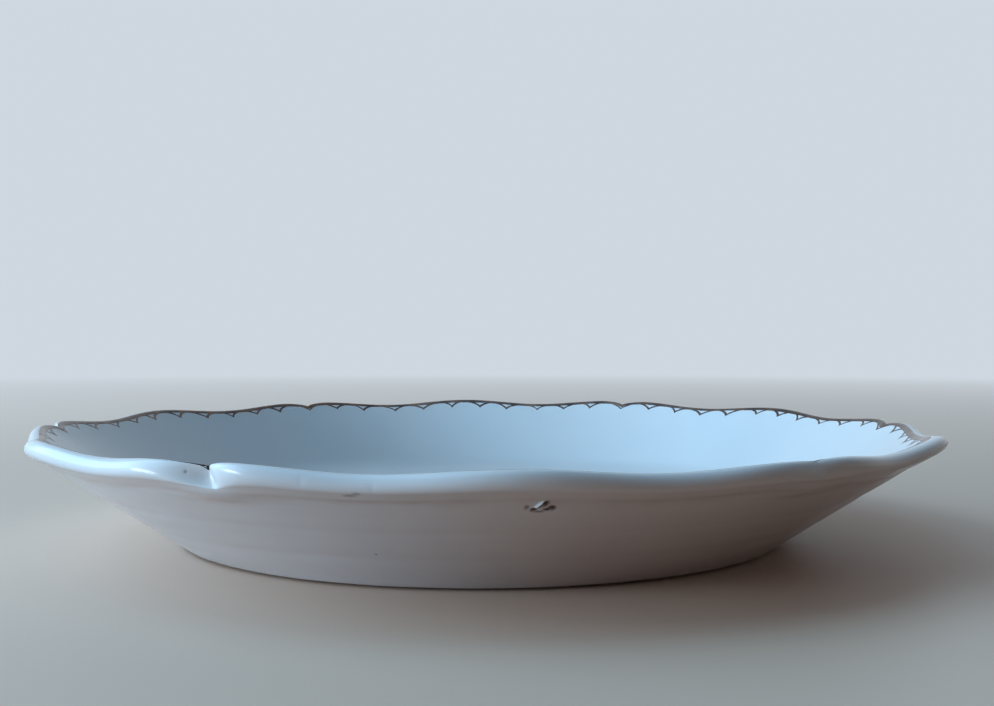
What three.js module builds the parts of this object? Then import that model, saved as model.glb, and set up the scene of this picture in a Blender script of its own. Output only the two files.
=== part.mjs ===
// Decorative plate: a round, deep serving plate of glazed ware with a lobed rim and a gilt scalloped border.
// Millimetres, +Z up. The plate stands on z = 0 with its axis on Z, and the crown of one lobe faces -Y.
import * as THREE from "three";

const { degToRad, clamp, smoothstep } = THREE.MathUtils;
const FULL_TURN = 2 * Math.PI;
const RIGHT_ANGLE = degToRad(90);

// Section of the plate
const RIM_RADIUS = 142.6;                 // axis to the lip at the crown of a lobe
const RIM_HEIGHT = 35.6;                  // table to the top of the lip at the crown of a lobe
const LIP_RADIUS = 2.5;                   // rounding of the lip
const COVE_DISTANCE = 6.5;                // from the top of the wall down its outside to the lip's hollow
const COVE_REACH = 4;                     // how far the hollow under the lip is rounded, each way
const WALL_SLOPE = degToRad(34.5);        // slope of the flaring wall, the same inside and out
const WALL_THICKNESS = 4.5;
const WELL_BEND = 40;                     // rounding between the floor of the well and the wall
const BASE_THICKNESS = 4.9;
const GLAZE_THICKNESS = 0.5;

// Foot
const FOOT_RING_HEIGHT = 2.6;             // lifts the base off the table
const FOOT_RING_WIDTH = 5.2;
const FOOT_RING_BEVEL = 1.2;
const FOOT_RING_SETBACK = 4.6;            // from the lower edge of the wall in to the ring
const FOOT_CLEARANCE = 0.3;               // between the ring and the body or glaze beside it
const WALL_EDGE_LIFT = 0.7;               // table to the lower edge of the wall
const WALL_EDGE_RADIUS = 1.6;             // rounding of that edge
const GLAZE_STOP = 1.4;                   // the glaze is wiped off this far in from that edge

// Contour of the rim
const LOBES = 6;
const SHOULDER_SHARE = 0.92;              // place of a lobe's shoulder on the way from its crown to the nick
const RIPPLE_DEPTH = 2.75;                // how far the rim draws in between a crown and a shoulder
const RIPPLE_FALL = 0.62;                 // fall in height for each millimetre that the ripple draws in
const NICK_DEPTH = 4;                     // how far the nick between two lobes cuts in
const NICK_CUT = 0.6;                     // share by which it cuts deeper where the lip bulges out
const NICK_FALL = 0.35;                   // fall in height for each millimetre that the nick cuts in
const NICK_HALF_WIDTH = degToRad(4.6);    // angle over which each side of the nick rounds over into its lobe
const NICK_REACH = 11;                    // height below the lip over which the nick dies away

// Gilding
const GILT_THICKNESS = 0.3;
const GILT_SEAT = 0.2;                    // clear of the glaze, which its flat facets need
const SCALLOP_LINE = 0.9;                 // width of the scalloped line
const SCALLOP_DEPTH = 3;                  // from the top of an arch to the points between arches
const ARCHES_PER_LOBE = 11;
const STRIPS_PER_LOBE = 2;                // the border is laid in strips from nick to crown and crown to nick
const STRIP_GAP = 0.3;                    // between the strips, and between them and the edge line

// Fineness of the facets
const STEPS_PER_LOBE = 16;
const STEP_CROWDING = 0.65;               // draws the steps together at the nicks
const WELL_STEPS = 3;
const WALL_STEPS = 3;
const LIP_STEPS = 6;
const COVE_STEPS = 2;
const WALL_EDGE_STEPS = 2;
const ARCH_STEPS = 8;

const lobeAngle = FULL_TURN / LOBES;
const steps = LOBES * STEPS_PER_LOBE;
const floorHeight = FOOT_RING_HEIGHT + BASE_THICKNESS;
const rippleReach = RIM_HEIGHT - floorHeight;    // the ripple of the rim dies away at the floor of the well

// Materials
const biscuitClay = new THREE.MeshStandardMaterial({ color: 0xd9cfbd, roughness: 0.85, metalness: 0 });
const bareClay = new THREE.MeshStandardMaterial({ color: 0xcabd9f, roughness: 0.9, metalness: 0 });
const whiteGlaze = new THREE.MeshStandardMaterial({ color: 0xe3e7ea, roughness: 0.12, metalness: 0 });
const agedGilt = new THREE.MeshStandardMaterial({ color: 0x7a5632, roughness: 0.35, metalness: 0.9 });

// Points of a section are (radius, height)
const point = (radius, height) => new THREE.Vector2(radius, height);

function from(start, angle, distance) {
  return point(start.x + distance * Math.cos(angle), start.y + distance * Math.sin(angle));
}

// Where the line through a at one slope meets the line through b at another
function meeting(a, slopeA, b, slopeB) {
  const gap = b.clone().sub(a);
  const distance = gap.cross(from(point(0, 0), slopeB, 1)) / Math.sin(slopeB - slopeA);
  return from(a, slopeA, distance);
}

// Points along a line, an arc or a bend, each without its last point, where the next stretch starts
function line(start, end, count) {
  return Array.from({ length: count }, (_, i) => start.clone().lerp(end, i / count));
}

function arc(centre, radius, startAngle, endAngle, count) {
  const turn = (endAngle - startAngle) / count;
  return Array.from({ length: count }, (_, i) => from(centre, startAngle + i * turn, radius));
}

function bend(start, corner, end, count) {
  return new THREE.QuadraticBezierCurve(start, corner, end).getPoints(count).slice(0, count);
}

// Section of the glazed surface, from the middle of the well over the lip to the foot
const lipCentre = point(RIM_RADIUS - LIP_RADIUS, RIM_HEIGHT - LIP_RADIUS);
const wallTop = from(lipCentre, WALL_SLOPE + RIGHT_ANGLE, LIP_RADIUS);
const backWall = from(wallTop, WALL_SLOPE - RIGHT_ANGLE, WALL_THICKNESS);
const cove = from(backWall, WALL_SLOPE, -COVE_DISTANCE);
const toLip = lipCentre.clone().sub(cove);
const lipUnderside = toLip.angle() - Math.asin(LIP_RADIUS / toLip.length());    // slope of its underside
const lipFoot = from(lipCentre, lipUnderside - RIGHT_ANGLE, LIP_RADIUS);
const coveTop = from(cove, lipUnderside, COVE_REACH);
const coveFoot = from(cove, WALL_SLOPE, -COVE_REACH);
const wellCorner = meeting(point(0, floorHeight), 0, wallTop, WALL_SLOPE);
const wellReach = WELL_BEND * Math.tan(WALL_SLOPE / 2);
const wellCentre = point(wellCorner.x - wellReach, floorHeight + WELL_BEND);
const wellTop = from(wellCorner, WALL_SLOPE, wellReach);
const wallEdgeCentre = meeting(
  from(backWall, WALL_SLOPE + RIGHT_ANGLE, WALL_EDGE_RADIUS),
  WALL_SLOPE,
  point(0, WALL_EDGE_LIFT + WALL_EDGE_RADIUS),
  0,
);
const wallFoot = from(wallEdgeCentre, WALL_SLOPE - RIGHT_ANGLE, WALL_EDGE_RADIUS);
const wallEdge = point(wallEdgeCentre.x, WALL_EDGE_LIFT);

const face = [
  point(0, floorHeight),
  ...arc(wellCentre, WELL_BEND, -RIGHT_ANGLE, WALL_SLOPE - RIGHT_ANGLE, WELL_STEPS),
  ...line(wellTop, wallTop, WALL_STEPS),
];
const lip = arc(lipCentre, LIP_RADIUS, WALL_SLOPE + RIGHT_ANGLE, lipUnderside - RIGHT_ANGLE, LIP_STEPS);
const back = [
  lipFoot,
  ...bend(coveTop, cove, coveFoot, COVE_STEPS),
  ...line(coveFoot, wallFoot, WALL_STEPS),
  ...arc(wallEdgeCentre, WALL_EDGE_RADIUS, WALL_SLOPE - RIGHT_ANGLE, -RIGHT_ANGLE, WALL_EDGE_STEPS),
  wallEdge,
  point(wallEdge.x - GLAZE_STOP, wallEdge.y),
];
const glazed = [...face, ...lip, ...back];
const ringOuter = wallEdge.x - FOOT_RING_SETBACK;
const ringInner = ringOuter - FOOT_RING_WIDTH;

// The same section taken into the body by a distance
function inset(section, distance) {
  return section.map((here, i) => {
    const before = section[Math.max(i - 1, 0)];
    const after = section[Math.min(i + 1, section.length - 1)];
    const heading = i === 0 ? 0 : after.clone().sub(before).angle();
    return from(here, heading - RIGHT_ANGLE, distance);
  });
}

const biscuit = inset(glazed, GLAZE_THICKNESS);

// Angles round the plate where the facets meet, closer together at the nicks
const stations = Array.from({ length: steps + 1 }, (_, i) => {
  const even = (FULL_TURN * i) / steps;
  return even - (STEP_CROWDING * Math.sin(LOBES * even)) / LOBES;
});

// How much of the rim's contour is left at a height, from 1 at the lip to 0 at the given reach below it
function share(height, reach) {
  return clamp(1 - (RIM_HEIGHT - height) / reach, 0, 1);
}

// How far a point is drawn in by the ripple along each lobe
function rippled(height, fromNick) {
  const wave = (SHOULDER_SHARE * lobeAngle) / 2;
  const fromCrown = Math.min(lobeAngle / 2 - fromNick, wave);
  const depth = (RIPPLE_DEPTH * (1 - Math.cos((FULL_TURN * fromCrown) / wave))) / 2;
  return depth * share(height, rippleReach) ** 2;
}

// How far a point is drawn in by the nick between two lobes
function nicked(radius, height, fromNick) {
  const fromSide = 1 - clamp(fromNick / NICK_HALF_WIDTH, 0, 1);
  const depth = NICK_DEPTH * (1 - Math.sqrt(1 - fromSide ** 2));
  const bulge = clamp((radius - wallTop.x) / (RIM_RADIUS - wallTop.x), 0, 1);
  return depth * (1 + NICK_CUT * bulge) * smoothstep(share(height, NICK_REACH), 0, 1);
}

// Place of a section's point at an angle round the plate
function placed(radius, height, angle) {
  const fromNick = Math.abs(angle - lobeAngle * Math.round(angle / lobeAngle));
  const ripple = rippled(height, fromNick);
  const nick = nicked(radius, height, fromNick);
  const reach = radius - ripple - nick;
  const level = height - RIPPLE_FALL * ripple - NICK_FALL * nick;
  return new THREE.Vector3(reach * Math.cos(angle), reach * Math.sin(angle), level);
}

// The same place on the flat facet between two stations
function placedOnFacet(radius, height, angle) {
  const next = stations.findIndex((station) => station > angle);
  const start = stations[next - 1];
  const part = (angle - start) / (stations[next] - start);
  return placed(radius, height, start).lerp(placed(radius, height, stations[next]), part);
}

// A section turned about the axis, with the contour of the rim
function turned(section) {
  const geometry = new THREE.LatheGeometry(section, steps);
  const positions = geometry.attributes.position;
  stations.forEach((angle, column) => {
    section.forEach((here, row) => {
      positions.setXYZ(column * section.length + row, ...placed(here.x, here.y, angle));
    });
  });
  geometry.computeVertexNormals();
  return geometry;
}

// Splits the four-sided facets between a turned section's first points along their other diagonal. Two solids
// that touch list their facets in opposite orders, so one of them is split across there to match the other.
function splitAcross(geometry, sectionPoints, firstPoints) {
  const corners = geometry.index.array;
  const perFacet = 6;
  const split = [];
  for (let start = 0; start < corners.length; start += perFacet) {
    const facet = corners.slice(start, start + perFacet);
    const row = (start / perFacet) % (sectionPoints - 1);
    const [a, b, d, c] = facet;
    split.push(...(row < firstPoints - 1 ? [a, b, c, a, c, d] : facet));
  }
  geometry.setIndex(split);
  return geometry;
}

function piece(name, geometry, material) {
  const mesh = new THREE.Mesh(geometry, material.clone());
  mesh.name = name;
  return mesh;
}

// Fired clay body, with a channel underneath for the foot ring
function biscuitBody() {
  const channel = ringOuter + FOOT_CLEARANCE;
  const section = [
    ...biscuit,
    point(channel, biscuit.at(-1).y),
    point(channel, FOOT_RING_HEIGHT),
    point(0, FOOT_RING_HEIGHT),
  ];
  return piece("biscuit_body", turned(section.reverse()), biscuitClay);
}

function footRing() {
  const section = [
    point(ringInner, FOOT_RING_HEIGHT),
    point(ringInner, FOOT_RING_BEVEL),
    point(ringInner + FOOT_RING_BEVEL, 0),
    point(ringOuter - FOOT_RING_BEVEL, 0),
    point(ringOuter, FOOT_RING_BEVEL),
    point(ringOuter, FOOT_RING_HEIGHT),
    point(ringInner, FOOT_RING_HEIGHT),
  ];
  return piece("foot_ring", turned(section), bareClay);
}

// One coat of glaze over the face, the lip and the back
function glazeCoat() {
  const section = [...biscuit, ...glazed.toReversed()];
  return piece("glaze_coat", splitAcross(turned(section), section.length, biscuit.length), whiteGlaze);
}

// Glaze on the underside, inside the foot ring
function baseGlaze() {
  const edge = ringInner - FOOT_CLEARANCE;
  const section = [
    point(0, FOOT_RING_HEIGHT - GLAZE_THICKNESS),
    point(edge, FOOT_RING_HEIGHT - GLAZE_THICKNESS),
    point(edge, FOOT_RING_HEIGHT),
    point(0, FOOT_RING_HEIGHT),
  ];
  return piece("base_glaze", turned(section), whiteGlaze);
}

// Gilt line on the inner shoulder of the lip
function giltEdgeLine() {
  const [low, high] = lip;
  const heading = high.clone().sub(low).angle();
  const raised = (start, lift) => from(start, heading + RIGHT_ANGLE, lift);
  const top = GILT_SEAT + GILT_THICKNESS;
  const section = [
    raised(low, GILT_SEAT),
    raised(high, GILT_SEAT),
    raised(high, top),
    raised(low, top),
    raised(low, GILT_SEAT),
  ];
  return piece("gilt_edge_line", turned(section), agedGilt);
}

// The scalloped border, drawn flat as arches side by side and then laid on the wall in strips
const archAngle = lobeAngle / ARCHES_PER_LOBE;
const archPitch = archAngle * wallTop.x;
const archRadius = ((archPitch / 2) ** 2 + SCALLOP_DEPTH ** 2) / (2 * SCALLOP_DEPTH);

// Height of an arch at a distance along the border, with its crown at 0
function archHeight(distance, radius) {
  const arches = distance / archPitch;
  const offCentre = (arches - Math.floor(arches) - 0.5) * archPitch;
  return Math.sqrt(radius ** 2 - offCentre ** 2) - archRadius;
}

function scallopOutline(start, end) {
  const half = SCALLOP_LINE / 2;
  const step = archPitch / ARCH_STEPS;
  const distances = [start + STRIP_GAP / 2];
  for (let k = Math.round(start / step) + 1; k * step < end - step / 2; k += 1) {
    distances.push(k * step);
  }
  distances.push(end - STRIP_GAP / 2);
  const edge = (radius) => distances.map((along) => new THREE.Vector2(along, archHeight(along, radius)));
  return new THREE.Shape([...edge(archRadius - half), ...edge(archRadius + half).reverse()]);
}

function giltScallopStrip(number) {
  const length = (lobeAngle / STRIPS_PER_LOBE) * wallTop.x;
  const outline = scallopOutline(number * length, (number + 1) * length);
  const geometry = new THREE.ExtrudeGeometry(outline, { depth: GILT_THICKNESS, bevelEnabled: false });
  const positions = geometry.attributes.position;
  for (let i = 0; i < positions.count; i += 1) {
    const angle = FULL_TURN - positions.getX(i) / wallTop.x;
    const below = positions.getY(i) - SCALLOP_LINE / 2 - STRIP_GAP;
    const onWall = from(wallTop, WALL_SLOPE, below);
    const lifted = from(onWall, WALL_SLOPE + RIGHT_ANGLE, GILT_SEAT + positions.getZ(i));
    positions.setXYZ(i, ...placedOnFacet(lifted.x, lifted.y, angle));
  }
  geometry.computeVertexNormals();
  const label = String(number + 1).padStart(2, "0");
  return piece(`gilt_scallop_strip_${label}`, geometry, agedGilt);
}

const plate = new THREE.Group();
plate.name = "decorative_plate";
plate.add(biscuitBody(), footRing(), glazeCoat(), baseGlaze(), giltEdgeLine());
for (let number = 0; number < LOBES * STRIPS_PER_LOBE; number += 1) {
  plate.add(giltScallopStrip(number));
}

export default plate;
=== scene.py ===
"""Decorative plate: glazed body, bare foot ring and gilding, on a plain stage with soft lamps."""

import math
from collections import namedtuple

import bpy
import numpy as np
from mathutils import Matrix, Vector


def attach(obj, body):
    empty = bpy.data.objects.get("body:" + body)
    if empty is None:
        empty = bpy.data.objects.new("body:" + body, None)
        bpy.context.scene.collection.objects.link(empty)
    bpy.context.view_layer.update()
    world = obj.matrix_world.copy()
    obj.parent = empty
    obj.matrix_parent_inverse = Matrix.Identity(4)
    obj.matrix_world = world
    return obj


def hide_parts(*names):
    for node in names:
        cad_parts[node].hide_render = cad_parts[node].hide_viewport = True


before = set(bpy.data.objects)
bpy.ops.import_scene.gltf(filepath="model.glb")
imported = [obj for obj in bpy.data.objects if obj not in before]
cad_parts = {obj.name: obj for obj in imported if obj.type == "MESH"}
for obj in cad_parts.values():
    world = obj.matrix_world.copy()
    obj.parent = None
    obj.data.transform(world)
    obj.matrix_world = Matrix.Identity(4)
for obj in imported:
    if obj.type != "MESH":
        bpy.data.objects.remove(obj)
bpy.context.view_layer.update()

MM = 0.001
FULL_TURN = 2 * math.pi
RIGHT_ANGLE = math.pi / 2

# Section of the plate in millimetres, as in the solids
RIM_RADIUS = 142.5                   # axis to the lip at a crown, a hair less than theirs, for the waves
RIM_HEIGHT = 35.6                    # floor to the top of the lip there
LIP_RADIUS = 2.5                     # rounding of the lip
COVE_DISTANCE = 6.5                  # from the top of the wall down its outside to the lip's hollow
COVE_REACH = 4.0                     # how far the hollow is rounded, each way
WALL_SLOPE = math.radians(34.5)
WALL_THICKNESS = 4.5
WELL_BEND = 40.0                     # radius from the floor of the well up into the wall
BASE_THICKNESS = 4.9
GLAZE_THICKNESS = 0.5
FOOT_RING_HEIGHT = 2.6
FOOT_RING_WIDTH = 5.2
FOOT_RING_BEVEL = 1.2
FOOT_RING_SETBACK = 4.6              # from the lower edge of the wall in to the ring
FOOT_CLEARANCE = 0.3                 # between the ring and the body or glaze beside it
WALL_EDGE_LIFT = 0.7                 # floor to the lower edge of the wall
WALL_EDGE_RADIUS = 1.6
GLAZE_STOP = 1.4                     # the glaze is wiped off this far in from that edge
FLOOR_HEIGHT = FOOT_RING_HEIGHT + BASE_THICKNESS

# Contour of the rim
LOBES = 6
LOBE_ANGLE = FULL_TURN / LOBES
SHOULDER_SHARE = 0.92                # where a shoulder lies, as a share of the way from crown to nick
RIPPLE_DEPTH = 2.75                  # how far the rim draws in between a crown and a shoulder
RIPPLE_FALL = 0.62                   # fall in height for each millimetre that the ripple draws in
RIPPLE_REACH = RIM_HEIGHT - FLOOR_HEIGHT
NICK_DEPTH = 1.7                     # at the top of the wall, shallower than in the solids
NICK_CUT = 2.6                       # share by which it cuts deeper where the lip bulges out
NICK_FALL = 0.55                     # fall in height for each millimetre that the nick cuts in
NICK_HALF_WIDTH = math.radians(4.6)
NICK_FILL = 0.9                      # how far the glaze fills the lip's hollow under a nick
NICK_FILL_ANGLE = math.radians(4.0)
NICK_FILL_HEIGHT = 3.2
NICK_ROUND = math.radians(0.2)       # softens the fold at the bottom of the nick
NICK_OPENING = math.radians(4.0)     # and how much more by the time the nick has died away
NICK_REACH = 11.0                    # how far down the outside it dies away
NICK_REACH_INSIDE = 4.5              # and down the inside, where the solids' nick goes further
FRONT_CROWN = -RIGHT_ANGLE           # the lobe that faces the camera

# Unevenness of the hand-made rim, which the solids leave out
WARP_SIDEWAYS = 0.30                 # tilt of the rim, down to the right
WARP_FORWARD = 0.33                  # and down to the front
WARP_TWIST = 0.28
DRIFTED_NICK = FRONT_CROWN + LOBE_ANGLE / 2
NICK_DRIFT = math.radians(1.0)       # this nick came out so much further round
NICK_SHALLOW = 0.65                  # and so much shallower, as a share of its depth
DRIFT_REACH = math.radians(12)
OPEN_HALF_WIDTH = math.radians(9)    # the two nicks in front slope in gently from their left
FRONT_SLANT = math.radians(3.4)      # and their folds run so far round to the right on the way down
PROUD_LIP = FRONT_CROWN + LOBE_ANGLE
PROUD_REACH = math.radians(15)
PROUD_OUT = 2.2                      # the lip stands out so much further here
PROUD_UP = 1.5                       # and so much higher

# Soft waves of the outside
WAVE_HEIGHT = 0.04
WAVES_ROUND = 13                     # once round the plate
WAVE_LEAN = 0.11                     # how fast these shift, in radians for each millimetre down the wall
WAVE_RATE = 0.45                     # of the waves down the wall, in the same measure
WAVE_SWAY = 9.0                      # how far those swing up and down, in radians
SWAYS_ROUND = 2

# Painted shade and dirt in the hollows, from 0 to 1: the glaze darkens in the cove under the lip and in the
# nicks
COVE_SHADE_AND_GRIME = 0.35
SHADE_AND_GRIME_WANDER = 0.25                  # how much more or less round the plate
SHADE_AND_GRIME_REACH = 2.2                    # above and below the middle of the hollow
NICK_SHADE_AND_GRIME = 0.3

# Gilding
EDGE_LINE_UP = 1.2                   # from the top of the wall up over the lip's inner shoulder
EDGE_LINE_DOWN = 1.0                 # and down the wall
EDGE_TOP_WANDER = 0.06
EDGE_FOOT_WANDER = 0.18
NICK_POOL = 1.1                      # how much wider the line is at a nick, where the gold ran together
NICK_POOL_WIDTH = math.radians(0.7)
SCALLOP_LINE = 0.9
SCALLOP_DEPTH = 3.4                  # a little more than in the solids
SCALLOP_TOP = 0.3                    # from the top of the wall down to an arch's crown
SCALLOP_LINE_WANDER = 0.2            # shares by which the line's width and the arches' depth vary
SCALLOP_DEPTH_WANDER = 0.12
SCALLOP_SWAY = 0.12                  # how far an arch is off its place, as a share of the pitch
ARCHES_PER_LOBE = 11
STRIPS_PER_LOBE = 2
GILT_RAISE = 0.06                    # how far the gilding stands off the glaze
GILT_ROOT = 0.05                     # how far its edges reach into the glaze

# Spacing of the mesh in millimetres, and counts
FINE_STEP = 0.05
FLOOR_SPACING = 6.0
WALL_SPACING = 1.5
LIP_SPACING = 0.3
COLUMN_SPACING = 2.0
NICK_SPACING = 0.22
MARK_SPACING = 0.6                   # at a mark, as a share of its narrowest spot's half-width
SPACING_GROWTH = 0.3                 # how fast the spacing widens away from the lip, a nick or a mark
FINE_ANGLES = 20000
RING_COLUMNS = 240
BEVEL_THINNING = 3                   # the foot ring's bevels keep one in so many of an arc's close points
BASE_RINGS = 14
EDGE_ROWS = 9                        # points across the edge line
SCALLOP_ROWS = 5                     # and across the scalloped line
STRIP_COLUMNS = 132


# Shape of the section, as (radius, height)

def from_point(start, angle, distance):
    return (start[0] + distance * math.cos(angle), start[1] + distance * math.sin(angle))


def meeting(a, slope_a, b, slope_b):
    """Where the line through a at one slope meets the line through b at another."""
    across = (b[0] - a[0]) * math.sin(slope_b) - (b[1] - a[1]) * math.cos(slope_b)
    return from_point(a, slope_a, across / math.sin(slope_b - slope_a))


def line(start, end):
    """Close points from start towards end, without the end."""
    count = max(1, round(math.dist(start, end) / FINE_STEP))
    return [(start[0] + (end[0] - start[0]) * i / count, start[1] + (end[1] - start[1]) * i / count)
            for i in range(count)]


def arc(centre, radius, start_angle, end_angle):
    """Close points along an arc, without its end."""
    count = round(radius * abs(end_angle - start_angle) / FINE_STEP)
    turn = (end_angle - start_angle) / count
    return [from_point(centre, start_angle + i * turn, radius) for i in range(count)]


def bend(start, corner, end):
    """Close points on a curve that leaves start and reaches end heading for the corner, without the end."""
    count = round((math.dist(start, corner) + math.dist(corner, end)) / FINE_STEP)
    points = []
    for i in range(count):
        t = i / count
        points.append(tuple((1 - t) ** 2 * a + 2 * t * (1 - t) * b + t * t * c
                            for a, b, c in zip(start, corner, end)))
    return points


LIP_CENTRE = (RIM_RADIUS - LIP_RADIUS, RIM_HEIGHT - LIP_RADIUS)
WALL_TOP = from_point(LIP_CENTRE, WALL_SLOPE + RIGHT_ANGLE, LIP_RADIUS)
BACK_WALL = from_point(WALL_TOP, WALL_SLOPE - RIGHT_ANGLE, WALL_THICKNESS)
COVE = from_point(BACK_WALL, WALL_SLOPE, -COVE_DISTANCE)
TO_LIP = (LIP_CENTRE[0] - COVE[0], LIP_CENTRE[1] - COVE[1])
LIP_UNDERSIDE = math.atan2(TO_LIP[1], TO_LIP[0]) - math.asin(LIP_RADIUS / math.hypot(*TO_LIP))
LIP_FOOT = from_point(LIP_CENTRE, LIP_UNDERSIDE - RIGHT_ANGLE, LIP_RADIUS)
COVE_TOP = from_point(COVE, LIP_UNDERSIDE, COVE_REACH)
COVE_FOOT = from_point(COVE, WALL_SLOPE, -COVE_REACH)
WELL_CORNER = meeting((0, FLOOR_HEIGHT), 0, WALL_TOP, WALL_SLOPE)
WELL_CENTRE = (WELL_CORNER[0] - WELL_BEND * math.tan(WALL_SLOPE / 2), FLOOR_HEIGHT + WELL_BEND)
WELL_TOP = from_point(WELL_CENTRE, WALL_SLOPE - RIGHT_ANGLE, WELL_BEND)
WALL_EDGE_CENTRE = meeting(from_point(BACK_WALL, WALL_SLOPE + RIGHT_ANGLE, WALL_EDGE_RADIUS), WALL_SLOPE,
                           (0, WALL_EDGE_LIFT + WALL_EDGE_RADIUS), 0)
WALL_FOOT = from_point(WALL_EDGE_CENTRE, WALL_SLOPE - RIGHT_ANGLE, WALL_EDGE_RADIUS)
WALL_EDGE = (WALL_EDGE_CENTRE[0], WALL_EDGE_LIFT)
RING_OUTER = WALL_EDGE[0] - FOOT_RING_SETBACK
RING_INNER = RING_OUTER - FOOT_RING_WIDTH
GLAZE_END = (WALL_EDGE[0] - GLAZE_STOP, WALL_EDGE_LIFT)


def inside_line():
    """The face, from the middle of the well to the top of the wall."""
    floor_edge = (WELL_CENTRE[0], FLOOR_HEIGHT)
    return (line((0, FLOOR_HEIGHT), floor_edge)
            + arc(WELL_CENTRE, WELL_BEND, -RIGHT_ANGLE, WALL_SLOPE - RIGHT_ANGLE)
            + line(WELL_TOP, WALL_TOP))


def lip_line():
    """The rolled lip, from the top of the wall to its underside."""
    return arc(LIP_CENTRE, LIP_RADIUS, WALL_SLOPE + RIGHT_ANGLE, LIP_UNDERSIDE - RIGHT_ANGLE)


def outside_line():
    """The back, from the lip's underside down the wall to where the glaze stops."""
    return (line(LIP_FOOT, COVE_TOP)
            + bend(COVE_TOP, COVE, COVE_FOOT)
            + line(COVE_FOOT, WALL_FOOT)
            + arc(WALL_EDGE_CENTRE, WALL_EDGE_RADIUS, WALL_SLOPE - RIGHT_ANGLE, -RIGHT_ANGLE)
            + line(WALL_EDGE, GLAZE_END)
            + [GLAZE_END])


def glaze_roll():
    """The rounded end of the glaze, from its face to the bare clay."""
    roll = GLAZE_THICKNESS / 2
    return arc((GLAZE_END[0], WALL_EDGE_LIFT + roll), roll, -RIGHT_ANGLE, -3 * RIGHT_ANGLE)


def bare_corners():
    """The bare clay from the end of the glaze over the seat of the foot ring towards the middle."""
    bare_height = WALL_EDGE_LIFT + GLAZE_THICKNESS
    channel = RING_OUTER + FOOT_CLEARANCE
    return [(GLAZE_END[0], bare_height), (channel, bare_height), (channel, FOOT_RING_HEIGHT),
            (RING_INNER, FOOT_RING_HEIGHT)]


# Contour of the rim, on arrays of points

def share(height, reach):
    """0 at a reach below the rim's crest, 1 at the crest."""
    return np.clip(1 - (RIM_HEIGHT - height) / reach, 0, 1)


def nearness(angle, middle, reach):
    """1 at a place round the plate, dying away over about the reach to each side."""
    off = (angle - middle + math.pi) % FULL_TURN - math.pi
    return np.exp(-(off / reach) ** 2)


def angle_past_nick(angle):
    """The angle past the nearest nick, below 0 to its left, with one nick drifted round from its place."""
    drifted = angle - NICK_DRIFT * nearness(angle, DRIFTED_NICK, DRIFT_REACH)
    return drifted - LOBE_ANGLE * np.round(drifted / LOBE_ANGLE)


def angle_from_nick(angle):
    return np.abs(angle_past_nick(angle))


def near_nick(angle, reach):
    """1 at each nick, dying away over about the reach to each side."""
    return np.exp(-(angle_from_nick(angle) / reach) ** 2)


def lip_bulge(radius):
    """How far out on the lip a point lies, from 0 at the top of the wall to 1 at the rim."""
    return np.clip((radius - WALL_TOP[0]) / (RIM_RADIUS - WALL_TOP[0]), 0, 1)


def ripple(height, angle):
    """How far a point is drawn in by the shallow wave along each lobe."""
    wave = SHOULDER_SHARE * LOBE_ANGLE / 2
    from_crown = np.minimum(LOBE_ANGLE / 2 - angle_from_nick(angle), wave)
    return RIPPLE_DEPTH * (1 - np.cos(FULL_TURN * from_crown / wave)) / 2 * share(height, RIPPLE_REACH) ** 2


def nick_share(angle):
    """How deep the nicks are, as a share of the full depth, with one nick shallower than the rest."""
    return 1 - NICK_SHALLOW * nearness(angle, DRIFTED_NICK, DRIFT_REACH)


def nick(radius, height, angle):
    """How far a point is drawn in by the nick, a fold at the lip that opens into a hollow below."""
    into_wall = (radius - WALL_TOP[0]) * math.sin(WALL_SLOPE) - (height - WALL_TOP[1]) * math.cos(WALL_SLOPE)
    outside = np.clip(into_wall / WALL_THICKNESS, 0, 1)
    level = share(height, NICK_REACH_INSIDE + (NICK_REACH - NICK_REACH_INSIDE) * outside)
    rounding = NICK_ROUND + NICK_OPENING * (1 - level)
    in_front = np.cos(angle - FRONT_CROWN) > math.cos(LOBE_ANGLE)
    past_fold = angle_past_nick(angle) - FRONT_SLANT * in_front * (1 - level) * outside
    from_fold = np.hypot(past_fold, rounding) - rounding
    steep = 1 - np.sqrt(1 - np.clip(1 - from_fold / NICK_HALF_WIDTH, 0, 1) ** 2)
    gentle = np.clip(1 - from_fold / OPEN_HALF_WIDTH, 0, 1) ** 2
    depth = NICK_DEPTH * nick_share(angle) * np.where(in_front & (past_fold < 0), gentle, steep)
    eased = level ** 2 * (3 - 2 * level)
    return depth * eased * (1 + NICK_CUT * lip_bulge(radius))


def warp(angle):
    """How far the rim has risen or sunk in the kiln, never quite level."""
    turn = angle - FRONT_CROWN
    tilt = WARP_SIDEWAYS * np.sin(turn) + WARP_FORWARD * np.cos(turn)
    return -tilt - WARP_TWIST * np.sin(2 * turn)


def placed(radius, height, angle):
    """Places in metres of points of the section at angles round the plate."""
    rippled = ripple(height, angle)
    nicked = nick(radius, height, angle)
    proud = lip_bulge(radius) * nearness(angle, PROUD_LIP, PROUD_REACH)
    reach = radius - rippled - nicked + PROUD_OUT * proud
    sunk = RIPPLE_FALL * rippled + NICK_FALL * nicked - PROUD_UP * proud
    level = height - sunk + warp(angle) * share(height, RIPPLE_REACH) ** 2
    return np.stack([reach * np.cos(angle), reach * np.sin(angle), level], axis=-1) * MM


def wander(angle, seed):
    """A slow, hand-made unevenness round the plate, within about -1 to 1, different for each seed."""
    waves_and_shifts = ((7, 1.0), (17, 2.3), (41, 4.1))
    waves = [np.sin(count * angle + shift * seed) for count, shift in waves_and_shifts]
    return sum(waves) / len(waves)
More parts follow.
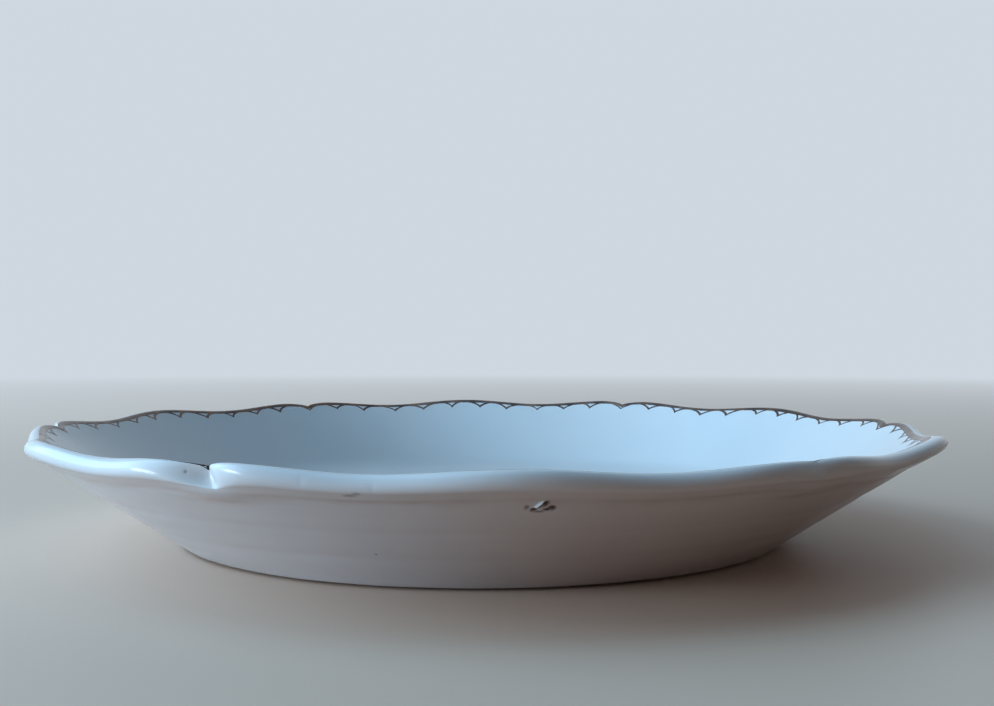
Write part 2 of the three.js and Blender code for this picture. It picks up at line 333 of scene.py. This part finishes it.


# Marks of making and age on the outside

# A mark lies in degrees to the right of the front crown and at a height, and its spots in millimetres
# across and up the surface from there. A spot leans to the right by degrees and darkens the glaze from 0 to
# 1: with stains, and with painted shadow in the support scar's groove beside its raised sliver.
Spot = namedtuple("Spot", "half_width half_length lift stain lean across up", defaults=(0, 0, 0, 0))
Mark = namedtuple("Mark", "turn height spots")
Ring = namedtuple("Ring", "height half_width depth")

# The support scar's pits are stained clay. Its dark groove beside the raised sliver is painted shadow.
SUPPORT_SCAR = Mark(turn=2.1, height=26.6, spots=[     # where a kiln support stuck and was broken off
    Spot(across=-0.2, up=1.5, half_width=0.2, half_length=1.7, lean=30, lift=0.65),
    # these two spots: painted shadow in the groove beside the raised sliver
    Spot(across=0.6, up=0.5, half_width=0.45, half_length=2.0, lean=32, lift=-0.3, stain=1.0),
    Spot(across=1.2, up=1.2, half_width=0.65, half_length=1.5, lean=15, lift=-0.3, stain=1.0),
    Spot(across=2.9, up=-0.7, half_width=1.0, half_length=1.3, lift=-0.3, stain=1.0),
    Spot(across=1.9, up=-1.4, half_width=1.1, half_length=0.7, lift=-0.2, stain=0.95),
    Spot(across=-1.1, up=-1.5, half_width=0.85, half_length=1.0, lift=-0.25, stain=0.95),
    Spot(across=0.2, up=-2.4, half_width=1.3, half_length=0.55, lift=-0.15, stain=0.65),
    Spot(across=-2.7, up=-0.3, half_width=0.6, half_length=1.1, lift=-0.15, stain=0.6),
])
LIP_SMEAR = Mark(turn=-14.8, height=30.5, spots=[
    Spot(across=-0.7, up=-0.4, half_width=1.7, half_length=0.9, lean=-8, lift=-0.05, stain=0.45),
    Spot(across=1.0, up=0.7, half_width=1.2, half_length=0.8, lean=-30, lift=-0.05, stain=0.4),
])
PINHOLE = Mark(turn=-32.2, height=34.6, spots=[
    Spot(half_width=0.42, half_length=0.42, lift=-0.4, stain=0.6),
])
SPECK = Mark(turn=-16.1, height=11.8, spots=[
    Spot(half_width=0.32, half_length=0.5, lift=-0.08, stain=0.6),
])
LIP_DENTS = [
    Mark(turn=-12.8, height=32.6, spots=[Spot(half_width=0.9, half_length=1.6, lift=-0.07)]),
    Mark(turn=-19.3, height=33.2, spots=[Spot(half_width=0.8, half_length=1.4, lift=-0.06)]),
]
MARKS = [SUPPORT_SCAR, LIP_SMEAR, PINHOLE, SPECK, *LIP_DENTS]
TURNING_RINGS = [
    Ring(height=27.9, half_width=1.6, depth=0.16),
    Ring(height=18.7, half_width=1.8, depth=0.12),
    Ring(height=10.0, half_width=2.4, depth=0.07),
]
RING_WANDER = 0.4                    # share by which a ring's depth varies round the plate


def mark_angle(mark):
    return (FRONT_CROWN + math.radians(mark.turn)) % FULL_TURN


def mark_extent(mark):
    """How far from its middle a mark shows."""
    return max(math.hypot(spot.across, spot.up) + max(spot.half_width, spot.half_length)
               for spot in mark.spots)


def mark_spacing(mark):
    return MARK_SPACING * min(min(spot.half_width, spot.half_length) for spot in mark.spots)


def spot_cover(spot, across, up):
    """How much of a spot is at places across and up from its mark's middle, fading out softly."""
    lean = math.radians(spot.lean)
    x, y = across - spot.across, up - spot.up
    along = x * math.sin(lean) + y * math.cos(lean)
    aside = x * math.cos(lean) - y * math.sin(lean)
    return np.exp(-((aside / spot.half_width) ** 2 + (along / spot.half_length) ** 2) ** 2)


# Meshes

def spaced(places, spacing):
    """Places along a line, thinned so that they lie about the wanted spacing apart."""
    gaps = np.diff(places)
    need = np.concatenate([[0], np.cumsum(gaps / ((spacing[1:] + spacing[:-1]) / 2))])
    wanted = np.linspace(0, need[-1], math.ceil(need[-1]) + 1)
    return np.interp(wanted, need, places)


def closer_near(spacing, distance, least):
    """A spacing brought down to the least one at no distance, and widening away from there."""
    return np.minimum(spacing, least + SPACING_GROWTH * np.maximum(distance, 0))


def plate_columns():
    """Angles once round the plate, closer together at the nicks and the marks."""
    fine = np.linspace(0, FULL_TURN, FINE_ANGLES)
    spacing = closer_near(COLUMN_SPACING, RIM_RADIUS * angle_from_nick(fine), NICK_SPACING)
    for mark in MARKS:
        distance = RIM_RADIUS * np.abs(fine - mark_angle(mark)) - mark_extent(mark)
        spacing = closer_near(spacing, distance, mark_spacing(mark))
    return spaced(fine * RIM_RADIUS, spacing)[:-1] / RIM_RADIUS


def new_object(name, data):
    made = bpy.data.objects.new(name, data)
    bpy.context.scene.collection.objects.link(made)
    return made


def new_piece(name, vertices, faces, material):
    mesh = bpy.data.meshes.new(name)
    mesh.from_pydata(vertices, [], faces)
    mesh.materials.append(material)
    mesh.shade_smooth()
    piece = new_object(name, mesh)
    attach(piece, "root")
    return piece


def skin(grid, closed_rows, closed_columns):
    """Vertices and four-sided faces of a grid of places indexed by column, then row."""
    columns, rows = grid.shape[:2]
    faces = []
    for i in range(columns if closed_columns else columns - 1):
        here, there = i * rows, (i + 1) % columns * rows
        for j in range(rows if closed_rows else rows - 1):
            below = (j + 1) % rows
            faces.append((here + j, here + below, there + below, there + j))
    return [tuple(place) for place in grid.reshape(-1, 3)], faces


def with_poles(grid, first_height, last_height):
    """A skin closed round the axis, with a fan to a middle point at its first and its last row."""
    columns, rows = grid.shape[:2]
    vertices, faces = skin(grid, False, True)
    first, last = len(vertices), len(vertices) + 1
    vertices += [(0, 0, first_height * MM), (0, 0, last_height * MM)]
    for i in range(columns):
        here, there = i * rows, (i + 1) % columns * rows
        faces.append((first, here, there))
        faces.append((here + rows - 1, last, there + rows - 1))
    return vertices, faces


def turned(section, angles):
    """Places of a section's points at angles round the plate."""
    section = np.array(section)
    return placed(section[None, :, 0], section[None, :, 1], angles[:, None])


def even_angles(count):
    return FULL_TURN * np.arange(count) / count


# Glazed body

class GlazedSection:
    """The glazed section from the well's middle to the foot, with rows close together where it matters."""

    def __init__(self):
        inside, lip, outside = inside_line(), lip_line(), outside_line()
        self.fine = np.array(inside + lip + outside)
        self.fine_along = np.concatenate([[0], np.cumsum(np.hypot(*np.diff(self.fine, axis=0).T))])
        self.lip_start = self.fine_along[len(inside)]
        self.lip_end = self.fine_along[len(inside) + len(lip)]
        self.along = spaced(self.fine_along, self.row_spacing())
        places = [np.interp(self.along, self.fine_along, self.fine[:, k]) for k in (0, 1)]
        self.radius, self.height = places
        heading = np.array([np.gradient(place, self.along) for place in places])
        self.outward_radius, self.outward_height = np.array([-heading[1], heading[0]]) / np.hypot(*heading)

    def row_spacing(self):
        along = self.fine_along
        floor = (self.fine[:, 0] < WELL_CENTRE[0]) & (along < self.lip_start)
        spacing = np.where(floor, FLOOR_SPACING, WALL_SPACING)
        past_lip = np.maximum(self.lip_start - along, along - self.lip_end)
        spacing = closer_near(spacing, past_lip, LIP_SPACING)
        foot = along[-1] - GLAZE_STOP - WALL_EDGE_RADIUS
        spacing = closer_near(spacing, foot - along, LIP_SPACING)
        for mark in MARKS:
            distance = np.abs(along - self.down_to(mark.height)) - mark_extent(mark)
            spacing = closer_near(spacing, distance, mark_spacing(mark))
        return spacing

    def down_to(self, height):
        """How far along the section a height on the outside lies."""
        top = np.argmax(self.fine[:, 1])
        return np.interp(-height, -self.fine[top:, 1], self.fine_along[top:])

    def band(self, height, half_width):
        """1 at a height on the outside, dying away over about the half-width above and below."""
        return np.exp(-((self.along - self.down_to(height)) / half_width) ** 2)


def marked(section, angles):
    """How far the marks lift the surface, and how much they darken it: stains, and painted shadow beside the
    support scar's raised sliver.
    """
    lift = np.zeros((angles.size, section.along.size))
    stain = np.zeros_like(lift)
    for mark in MARKS:
        middle = section.down_to(mark.height)
        radius = np.interp(middle, section.along, section.radius)
        across = (angles[:, None] - mark_angle(mark)) * radius
        up = middle - section.along[None, :]
        for spot in mark.spots:
            cover = spot_cover(spot, across, up)
            lift += spot.lift * cover
            stain = np.maximum(stain, spot.stain * cover)
    return lift, stain


def ringed(section, angles):
    """How far the shallow rings left by turning lower the outside."""
    lift = np.zeros((angles.size, section.along.size))
    for ring in TURNING_RINGS:
        band = section.band(ring.height, ring.half_width)
        depth = 1 + RING_WANDER * wander(angles, seed=ring.height)
        lift -= ring.depth * band[None, :] * depth[:, None]
    return lift


def filled(section, angles):
    """How far the glaze fills the lip's hollow under each nick."""
    hollow = section.band(COVE[1], NICK_FILL_HEIGHT)
    return NICK_FILL * hollow[None, :] * near_nick(angles, NICK_FILL_ANGLE)[:, None]


def uneven(section, angles):
    """The soft waves of the outside, 0 on the face and growing over the lip."""
    outside = np.clip((section.along - section.lip_start) / (section.lip_end - section.lip_start), 0, 1)
    turn, down = angles[:, None], section.along[None, :]
    waves_down = np.sin(WAVE_RATE * down + WAVE_SWAY * np.sin(SWAYS_ROUND * turn))
    waves_round = np.sin(WAVES_ROUND * turn + WAVE_LEAN * down)
    return WAVE_HEIGHT * outside * waves_down * waves_round


def shade_and_grime(section, angles):
    """How far the glaze is darkened in the cove under the lip and in the nicks, from 0 to 1: painted shade in
    these hollows, together with dirt.
    """
    outside = section.along > section.lip_start
    in_cove = COVE_SHADE_AND_GRIME + SHADE_AND_GRIME_WANDER * wander(angles, seed=8.0)
    cove = section.band(COVE[1], SHADE_AND_GRIME_REACH)[None, :] * in_cove[:, None]
    deepest = NICK_DEPTH * (1 + NICK_CUT)
    nicked = nick(section.radius[None, :], section.height[None, :], angles[:, None]) / deepest
    return np.clip(cove + NICK_SHADE_AND_GRIME * nicked ** 2 * outside, 0, 1)


def keep_value(piece, name, glazed_values, rows):
    """Keeps a value for each vertex, for the material to read. Past the glazed rows it is 0."""
    columns, glazed_rows = glazed_values.shape
    values = np.zeros((columns, rows), np.float32)
    values[:, :glazed_rows] = glazed_values
    poles = [0, 0]
    layer = piece.data.attributes.new(name, "FLOAT", "POINT")
    layer.data.foreach_set("value", np.concatenate([values.ravel(), poles]))


def glazed_plate(glaze, clay):
    section = GlazedSection()
    angles = plate_columns()
    lift, stain = marked(section, angles)
    lift += ringed(section, angles) + filled(section, angles) + uneven(section, angles)
    radius = section.radius[None, :] + lift * section.outward_radius[None, :]
    height = section.height[None, :] + lift * section.outward_height[None, :]
    roll = glaze_roll()[1:]          # its first point is the end of the glazed section
    glazed_grid = placed(radius, height, angles[:, None])[:, 1:]     # the first row is the pole
    grid = np.concatenate([glazed_grid, turned(roll + bare_corners(), angles)], axis=1)
    columns, rows = grid.shape[:2]
    vertices, faces = with_poles(grid, FLOOR_HEIGHT, FOOT_RING_HEIGHT)
    piece = new_piece("glazed_plate", vertices, faces, glaze)
    piece.data.materials.append(clay)
    bare_from = glazed_grid.shape[1] + len(roll) // 2
    bare_rows = np.tile(np.arange(rows - 1) >= bare_from, columns)
    bare_fans = np.tile([False, True], columns)
    bare = np.concatenate([bare_rows, bare_fans])
    piece.data.polygons.foreach_set("material_index", bare.astype(np.int32))
    keep_value(piece, "stain", stain[:, 1:], rows)
    # the painted shade and dirt of the hollows, kept for the material
    keep_value(piece, "grime_and_shade", shade_and_grime(section, angles)[:, 1:], rows)
    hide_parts("biscuit_body", "glaze_coat")


# Foot

def foot_ring(clay):
    inner, outer = RING_INNER + FOOT_RING_BEVEL, RING_OUTER - FOOT_RING_BEVEL
    loop = (
        [(RING_OUTER, FOOT_RING_HEIGHT)]
        + arc((outer, FOOT_RING_BEVEL), FOOT_RING_BEVEL, 0, -RIGHT_ANGLE)[::BEVEL_THINNING]
        + [(outer, 0)]
        + arc((inner, FOOT_RING_BEVEL), FOOT_RING_BEVEL, -RIGHT_ANGLE, -2 * RIGHT_ANGLE)[::BEVEL_THINNING]
        + [(RING_INNER, FOOT_RING_BEVEL), (RING_INNER, FOOT_RING_HEIGHT)]
    )
    vertices, faces = skin(turned(loop, even_angles(RING_COLUMNS)), True, True)
    piece = new_piece("foot_ring_clay", vertices, faces, clay)
    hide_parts("foot_ring")


def base_glaze(glaze):
    roll = GLAZE_THICKNESS / 2
    edge = RING_INNER - FOOT_CLEARANCE - roll
    low = FOOT_RING_HEIGHT - GLAZE_THICKNESS
    section = (
        [(edge / 2, FOOT_RING_HEIGHT)]
        + arc((edge, FOOT_RING_HEIGHT - roll), roll, RIGHT_ANGLE, -RIGHT_ANGLE)
        + [(edge * (1 - i / BASE_RINGS), low) for i in range(BASE_RINGS)]
    )
    vertices, faces = with_poles(turned(section, even_angles(RING_COLUMNS)), FOOT_RING_HEIGHT, low)
    piece = new_piece("base_glaze_coat", vertices, faces, glaze)
    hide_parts("base_glaze")


# Gilding

def on_face(distance, lift):
    """A point of the section at a distance down the wall from its top, or up over the lip if negative."""
    down = np.maximum(distance, 0)
    turn = WALL_SLOPE + RIGHT_ANGLE + np.minimum(distance, 0) / LIP_RADIUS
    radius = LIP_CENTRE[0] + (LIP_RADIUS + lift) * np.cos(turn) - down * math.cos(WALL_SLOPE)
    height = LIP_CENTRE[1] + (LIP_RADIUS + lift) * np.sin(turn) - down * math.sin(WALL_SLOPE)
    return radius, height


def ribbon_loop(count):
    """Once round a ribbon's cross-section: places across it, from -1 to 1 and back, and their lift."""
    across = np.linspace(-1, 1, count)
    crowned = GILT_RAISE * (1 - across ** 2 / 2)
    return np.concatenate([across, across[::-1]]), np.concatenate([crowned, np.full(count, -GILT_ROOT)])


def gilt_edge_line(gilt):
    angles = plate_columns()
    across, lift = ribbon_loop(EDGE_ROWS)
    pool = NICK_POOL * nick_share(angles) * near_nick(angles, NICK_POOL_WIDTH)
    top = -EDGE_LINE_UP - pool + EDGE_TOP_WANDER * wander(angles, seed=1.0)
    bottom = EDGE_LINE_DOWN + pool + EDGE_FOOT_WANDER * wander(angles, seed=5.0)
    middle, half = (top + bottom) / 2, (bottom - top) / 2
    radius, height = on_face(middle[:, None] + half[:, None] * across[None, :], lift[None, :])
    vertices, faces = skin(placed(radius, height, angles[:, None]), True, True)
    piece = new_piece("gilt_edge", vertices, faces, gilt)
    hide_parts("gilt_edge_line")


ARCH_ANGLE = LOBE_ANGLE / ARCHES_PER_LOBE
ARCH_PITCH = ARCH_ANGLE * WALL_TOP[0]
ARCH_RADIUS = ((ARCH_PITCH / 2) ** 2 + SCALLOP_DEPTH ** 2) / (2 * SCALLOP_DEPTH)


def gilt_scallop_strip(number, gilt):
    """One strip of the border: a line of arches side by side, from nick to crown or crown to nick."""
    arches = ARCHES_PER_LOBE / STRIPS_PER_LOBE
    along = np.linspace(number * arches, (number + 1) * arches, STRIP_COLUMNS + 1)
    angles = FULL_TURN - along * ARCH_ANGLE
    off_centre = (along - np.floor(along) - 0.5) * ARCH_PITCH
    across, lift = ribbon_loop(SCALLOP_ROWS)
    half = SCALLOP_LINE / 2 * (1 + SCALLOP_LINE_WANDER * wander(angles, seed=3.0))
    arch = ARCH_RADIUS + half[:, None] * across[None, :]
    fall = ARCH_RADIUS - np.sqrt(arch ** 2 - off_centre[:, None] ** 2)
    deeper = 1 + SCALLOP_DEPTH_WANDER * wander(angles, seed=9.0)
    distance = SCALLOP_TOP + fall * deeper[:, None]
    radius, height = on_face(distance, lift[None, :])
    swayed = angles + SCALLOP_SWAY * ARCH_ANGLE * wander(angles, seed=6.0)
    grid = placed(radius, height, swayed[:, None])
    vertices, faces = skin(grid, True, False)
    rows = grid.shape[1]
    first_end, last_end = range(rows), range(len(vertices) - rows, len(vertices))
    faces += [tuple(first_end), tuple(reversed(last_end))]
    label = f"{number + 1:02d}"
    piece = new_piece(f"gilt_arches_{label}", vertices, faces, gilt)
    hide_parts(f"gilt_scallop_strip_{label}")


# Materials, with colours as linear red, green and blue

GLAZE_TINTS = ((0.68, 0.755, 0.81), (0.73, 0.785, 0.825))
SPECK_COLOUR = (0.20, 0.14, 0.10)
# colour of the painted shade and dirt in the hollows under the lip and in the nicks
SHADE_AND_GRIME_COLOUR = (0.42, 0.36, 0.31)
# colour of the stains, and of the painted shadow beside the support scar's sliver
STAIN_AND_SHADOW_COLOUR = (0.06, 0.042, 0.032)
CLAY_TINTS = ((0.50, 0.43, 0.33), (0.66, 0.60, 0.49))
GRIT_COLOUR = (0.30, 0.24, 0.18)
GILT_TINTS = ((0.035, 0.026, 0.026), (0.12, 0.082, 0.065))
WORN_GILT_COLOUR = (0.20, 0.17, 0.16)
MOST_WEAR = 0.4                      # of the gilding, where it is rubbed thinnest
SPECK_CORE = 0.6                     # share of a speck's radius before it fades out


def new_material(name):
    material = bpy.data.materials.new(name)
    material.use_nodes = True
    nodes = material.node_tree.nodes
    return material, nodes, material.node_tree.links, nodes["Principled BSDF"]


def noise(nodes, links, scale, detail):
    coordinates = nodes.new("ShaderNodeTexCoord")
    texture = nodes.new("ShaderNodeTexNoise")
    texture.inputs["Scale"].default_value = scale
    texture.inputs["Detail"].default_value = detail
    links.new(coordinates.outputs["Object"], texture.inputs["Vector"])
    return texture.outputs["Fac"]


def kept_value(nodes, name):
    """A value kept on the vertices."""
    node = nodes.new("ShaderNodeAttribute")
    node.attribute_name = name
    return node.outputs["Fac"]


def ramp(nodes, links, value, between, colours):
    """Colours for a value, from the first colour to the second between two values."""
    node = nodes.new("ShaderNodeValToRGB")
    for element, place, colour in zip(node.color_ramp.elements, between, colours):
        element.position = place
        element.color = (*colour, 1)
    links.new(value, node.inputs["Fac"])
    return node.outputs["Color"]


def spread(nodes, links, value, between, to):
    """A value carried from one range to another."""
    node = nodes.new("ShaderNodeMapRange")
    node.inputs["From Min"].default_value, node.inputs["From Max"].default_value = between
    node.inputs["To Min"].default_value, node.inputs["To Max"].default_value = to
    links.new(value, node.inputs["Value"])
    return node.outputs["Result"]


def blended(nodes, links, factor, first, second):
    """The output of a node mixed with a colour by a factor."""
    node = nodes.new("ShaderNodeMix")
    node.data_type = "RGBA"
    links.new(factor, node.inputs["Factor"])
    links.new(first, node.inputs["A"])
    node.inputs["B"].default_value = (*second, 1)
    return node.outputs["Result"]


def combined(nodes, links, operation, first, second):
    """Two values added, multiplied or the like."""
    node = nodes.new("ShaderNodeMath")
    node.operation = operation
    links.new(first, node.inputs[0])
    links.new(second, node.inputs[1])
    return node.outputs["Value"]


def mixed(nodes, links, factor, first, second):
    """One shader at a factor of 0, another at 1."""
    node = nodes.new("ShaderNodeMixShader")
    links.new(factor, node.inputs["Fac"])
    links.new(first, node.inputs[1])
    links.new(second, node.inputs[2])
    return node.outputs["Shader"]


def bumped(nodes, links, shader, height, strength, distance):
    node = nodes.new("ShaderNodeBump")
    node.inputs["Strength"].default_value = strength
    node.inputs["Distance"].default_value = distance
    links.new(height, node.inputs["Height"])
    links.new(node.outputs["Normal"], shader.inputs["Normal"])


def specks(nodes, links, scale, size, share_of_cells):
    """A mask of small round specks, one each in a share of the cells of a given scale."""
    coordinates = nodes.new("ShaderNodeTexCoord")
    cells = nodes.new("ShaderNodeTexVoronoi")
    cells.inputs["Scale"].default_value = scale
    links.new(coordinates.outputs["Object"], cells.inputs["Vector"])
    split = nodes.new("ShaderNodeSeparateColor")
    links.new(cells.outputs["Color"], split.inputs["Color"])
    chosen = nodes.new("ShaderNodeMath")
    chosen.operation = "LESS_THAN"
    chosen.inputs[1].default_value = share_of_cells
    links.new(split.outputs["Red"], chosen.inputs[0])
    dot = spread(nodes, links, cells.outputs["Distance"], between=(size * SPECK_CORE, size), to=(1, 0))
    return combined(nodes, links, "MULTIPLY", chosen.outputs["Value"], dot)


def white_glaze():
    """Cool white glaze, slightly uneven in tint and gloss, with a few specks, and with painted shade and dirt
    darkening the hollows.
    """
    material, nodes, links, shader = new_material("white_glaze")
    cloud = noise(nodes, links, scale=14, detail=4)
    tint = ramp(nodes, links, cloud, between=(0.35, 0.65), colours=GLAZE_TINTS)
    dots = specks(nodes, links, scale=95, size=0.035, share_of_cells=0.05)
    speckled = blended(nodes, links, dots, tint, SPECK_COLOUR)
    mottle = noise(nodes, links, scale=90, detail=5)
    patchy = spread(nodes, links, mottle, between=(0.3, 0.7), to=(0.35, 1.0))
    # painted shade and dirt: darkens the glaze patchily in the hollows under the lip and in the nicks
    shade_and_dirt = combined(nodes, links, "MULTIPLY", kept_value(nodes, "grime_and_shade"), patchy)
    shaded_and_dirty = blended(nodes, links, shade_and_dirt, speckled, SHADE_AND_GRIME_COLOUR)
    # stains, and painted shadow beside the support scar's sliver
    stained_and_shadowed = blended(nodes, links, kept_value(nodes, "stain"), shaded_and_dirty, STAIN_AND_SHADOW_COLOUR)
    links.new(stained_and_shadowed, shader.inputs["Base Color"])
    rub = noise(nodes, links, scale=60, detail=6)
    gloss = spread(nodes, links, rub, between=(0.3, 0.7), to=(0.13, 0.22))
    links.new(gloss, shader.inputs["Roughness"])
    shader.inputs["IOR"].default_value = 1.52
    shader.inputs["Specular IOR Level"].default_value = 0.3
    peel = noise(nodes, links, scale=240, detail=2)
    bumped(nodes, links, shader, peel, strength=0.06, distance=0.0004)
    return material


def bare_clay():
    """Fired clay left bare: buff, matt and gritty."""
    material, nodes, links, shader = new_material("bare_clay")
    cloud = noise(nodes, links, scale=45, detail=5)
    tint = ramp(nodes, links, cloud, between=(0.3, 0.7), colours=CLAY_TINTS)
    grit = specks(nodes, links, scale=420, size=0.16, share_of_cells=0.35)
    links.new(blended(nodes, links, grit, tint, GRIT_COLOUR), shader.inputs["Base Color"])
    grain = noise(nodes, links, scale=900, detail=3)
    matt = spread(nodes, links, grain, between=(0.2, 0.8), to=(0.75, 0.95))
    links.new(matt, shader.inputs["Roughness"])
    bumped(nodes, links, shader, grain, strength=0.35, distance=0.0002)
    return material


def aged_gilt():
    """Old gilding: brown-gold, dulled in patches and rubbed thin in a few places."""
    material, nodes, links, shader = new_material("aged_gilt")
    cloud = noise(nodes, links, scale=120, detail=5)
    tint = ramp(nodes, links, cloud, between=(0.35, 0.7), colours=GILT_TINTS)
    rub = noise(nodes, links, scale=260, detail=4)
    worn = spread(nodes, links, rub, between=(0.62, 0.74), to=(0, MOST_WEAR))
    links.new(blended(nodes, links, worn, tint, WORN_GILT_COLOUR), shader.inputs["Base Color"])
    metal = spread(nodes, links, worn, between=(0, MOST_WEAR), to=(1.0, 0.6))
    links.new(metal, shader.inputs["Metallic"])
    gloss = spread(nodes, links, cloud, between=(0.3, 0.7), to=(0.24, 0.14))
    links.new(gloss, shader.inputs["Roughness"])
    bumped(nodes, links, shader, rub, strength=0.2, distance=0.0001)
    return material


# Stage: a plain pale floor, soft lamps and the camera of the photograph

BACKDROP = (0.62, 0.68, 0.74)
FLOOR_COLOUR = (0.80, 0.62, 0.50)
FLOOR_BOUNCE = (0.56, 0.29, 0.19)    # the floor's colour for the light that it throws back up
FLOOR_ROUGHNESS = 0.45
FLOOR_HALF = 6.0                     # half of its side in metres
FLOOR_FADE = (0.35, 1.8)             # distances in metres between which it goes over into the backdrop
AMBIENT_COLOUR = (1.0, 0.85, 0.75)
AMBIENT_STRENGTH = 0.04


def seen_directly(nodes, links):
    """1 where the camera, a reflection or a see-through surface looks, and 0 for the light that spreads."""
    path = nodes.new("ShaderNodeLightPath")
    mirrored = combined(nodes, links, "MAXIMUM", path.outputs["Is Camera Ray"], path.outputs["Is Glossy Ray"])
    return combined(nodes, links, "MAXIMUM", mirrored, path.outputs["Is Transmission Ray"])


def far_away(nodes, links):
    """0 by the plate, going over to 1 far off."""
    geometry = nodes.new("ShaderNodeNewGeometry")
    distance = nodes.new("ShaderNodeVectorMath")
    distance.operation = "LENGTH"
    links.new(geometry.outputs["Position"], distance.inputs[0])
    return spread(nodes, links, distance.outputs["Value"], between=FLOOR_FADE, to=(0, 1))


def stage_floor():
    """A pale floor that throws warm light back up, and that fades out into the backdrop far off."""
    corners = [(x * FLOOR_HALF, y * FLOOR_HALF, 0) for x, y in ((-1, -1), (1, -1), (1, 1), (-1, 1))]
    mesh = bpy.data.meshes.new("floor")
    mesh.from_pydata(corners, [], [(0, 1, 2, 3)])
    material, nodes, links, shader = new_material("floor")
    direct = seen_directly(nodes, links)
    colour = ramp(nodes, links, direct, between=(0, 1), colours=(FLOOR_BOUNCE, FLOOR_COLOUR))
    links.new(colour, shader.inputs["Base Color"])
    shader.inputs["Roughness"].default_value = FLOOR_ROUGHNESS
    backdrop = nodes.new("ShaderNodeEmission")
    backdrop.inputs["Color"].default_value = (*BACKDROP, 1)
    far = combined(nodes, links, "MULTIPLY", direct, far_away(nodes, links))
    surface = mixed(nodes, links, far, shader.outputs["BSDF"], backdrop.outputs["Emission"])
    links.new(surface, nodes["Material Output"].inputs["Surface"])
    mesh.materials.append(material)
    new_object("floor", mesh)


def soft_lamp(name, place, aim_height, size, power, colour):
    """A rectangular lamp, in metres and watts, turned towards a height on the plate's axis."""
    lamp = bpy.data.lights.new(name, "AREA")
    lamp.shape = "RECTANGLE"
    lamp.size, lamp.size_y = size
    lamp.energy = power
    lamp.color = colour
    holder = new_object(name, lamp)
    holder.location = place
    heading = Vector((0, 0, aim_height)) - Vector(place)
    holder.rotation_euler = heading.to_track_quat("-Z", "Y").to_euler()


def surroundings():
    """Dim even light all round, and the plain backdrop past the floor."""
    world = bpy.data.worlds.new("surroundings")
    world.use_nodes = True
    nodes, links = world.node_tree.nodes, world.node_tree.links
    ambient = nodes["Background"]
    ambient.inputs["Color"].default_value = (*AMBIENT_COLOUR, 1)
    ambient.inputs["Strength"].default_value = AMBIENT_STRENGTH
    backdrop = nodes.new("ShaderNodeBackground")
    backdrop.inputs["Color"].default_value = (*BACKDROP, 1)
    light, seen = ambient.outputs["Background"], backdrop.outputs["Background"]
    surface = mixed(nodes, links, seen_directly(nodes, links), light, seen)
    links.new(surface, nodes["World Output"].inputs["Surface"])
    bpy.context.scene.world = world


def photo_camera():
    """The camera low in front of the plate, a little to the left of the crown that faces it."""
    image_width = 994                # in pixels, as are the focal length and the horizon
    focal_pixels = 1150
    horizon_above_middle = 11.1
    bearing = math.radians(4.0)
    distance, sideways, height = 382.3, 5.03, 62.2     # from the middle of the plate, in millimetres
    camera = bpy.data.cameras.new("photo_camera")
    camera.sensor_fit = "HORIZONTAL"
    camera.lens = camera.sensor_width * focal_pixels / image_width
    camera.clip_start = 0.01
    holder = new_object("photo_camera", camera)
    forward = Vector((math.sin(bearing), math.cos(bearing), 0))
    right = Vector((math.cos(bearing), -math.sin(bearing), 0))
    holder.location = (right * sideways - forward * distance + Vector((0, 0, height))) * MM
    holder.rotation_euler = (RIGHT_ANGLE - math.atan(horizon_above_middle / focal_pixels), 0, -bearing)
    bpy.context.scene.camera = holder


# The plate, then the stage

glaze = white_glaze()
clay = bare_clay()
gilt = aged_gilt()
glazed_plate(glaze, clay)
foot_ring(clay)
base_glaze(glaze)
gilt_edge_line(gilt)
for strip in range(LOBES * STRIPS_PER_LOBE):
    gilt_scallop_strip(strip, gilt)

stage_floor()
soft_lamp("large_left", place=(-1.7, 0.22, 1.05), aim_height=0.05,
          size=(2.4, 1.85), power=42.5, colour=(0.48, 0.76, 1.0))
soft_lamp("overhead", place=(-0.5, 0.5, 2.0), aim_height=0.05,
          size=(1.6, 1.6), power=9.0, colour=(0.38, 0.70, 1.0))
soft_lamp("low_left", place=(-2.0, -0.5, 0.27), aim_height=0.03,
          size=(1.0, 0.5), power=31.0, colour=(0.62, 0.82, 1.0))
surroundings()
photo_camera()
bpy.context.scene.view_settings.view_transform = "Standard"
